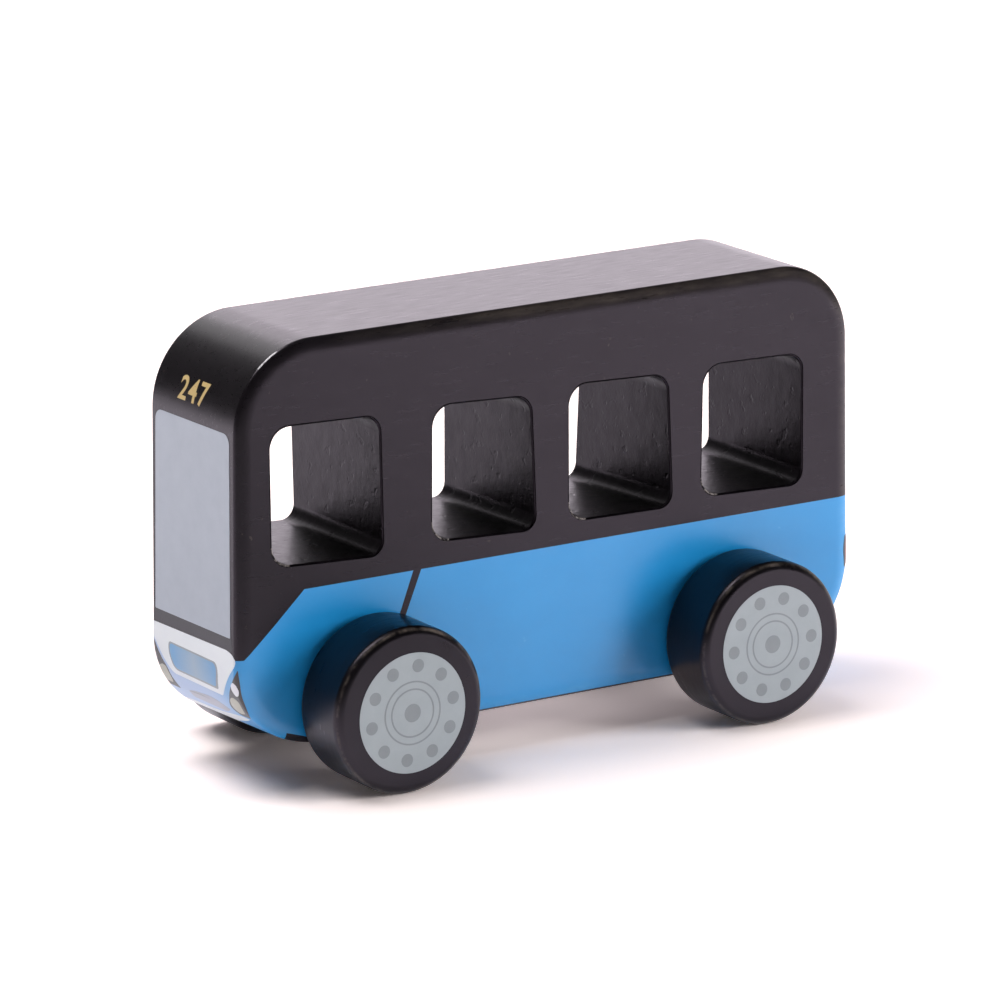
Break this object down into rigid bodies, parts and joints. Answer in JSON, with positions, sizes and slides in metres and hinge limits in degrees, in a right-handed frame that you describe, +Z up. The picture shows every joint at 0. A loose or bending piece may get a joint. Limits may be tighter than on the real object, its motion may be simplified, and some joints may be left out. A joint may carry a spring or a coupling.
{
  "type": "toy bus",
  "caption": "Wooden toy bus: a solid rounded block with sawn-through windows, rolling on thick turned wheels glued to dowel axles.",
  "frame": {"origin": "on the floor, below the middle of the bus's box", "axes": "+X towards the front of the bus, +Y towards its left side, +Z up"},
  "size_m": [0.1494, 0.0648, 0.092],
  "materials": {
    "body_paint": "satin paint",
    "wheel_paint": "satin paint",
    "dowel_wood": "bare"
  },
  "bodies": {
    "bus_body": {"body_block": "body_paint"},
    "front_wheelset": {"axle_front": "dowel_wood", "wheel_front_left": "wheel_paint", "wheel_front_right": "wheel_paint"},
    "rear_wheelset": {"axle_rear": "dowel_wood", "wheel_rear_left": "wheel_paint", "wheel_rear_right": "wheel_paint"}
  },
  "joints": [
    {"name": "front_roll", "type": "hinge", "parent": "bus_body", "child": "front_wheelset", "pos_m": [0.04375, 0, 0.01725], "axis": [0, 1, 0], "continuous": true},
    {"name": "rear_roll", "type": "hinge", "parent": "bus_body", "child": "rear_wheelset", "pos_m": [-0.04425, 0, 0.01725], "axis": [0, 1, 0], "continuous": true}
  ]
}
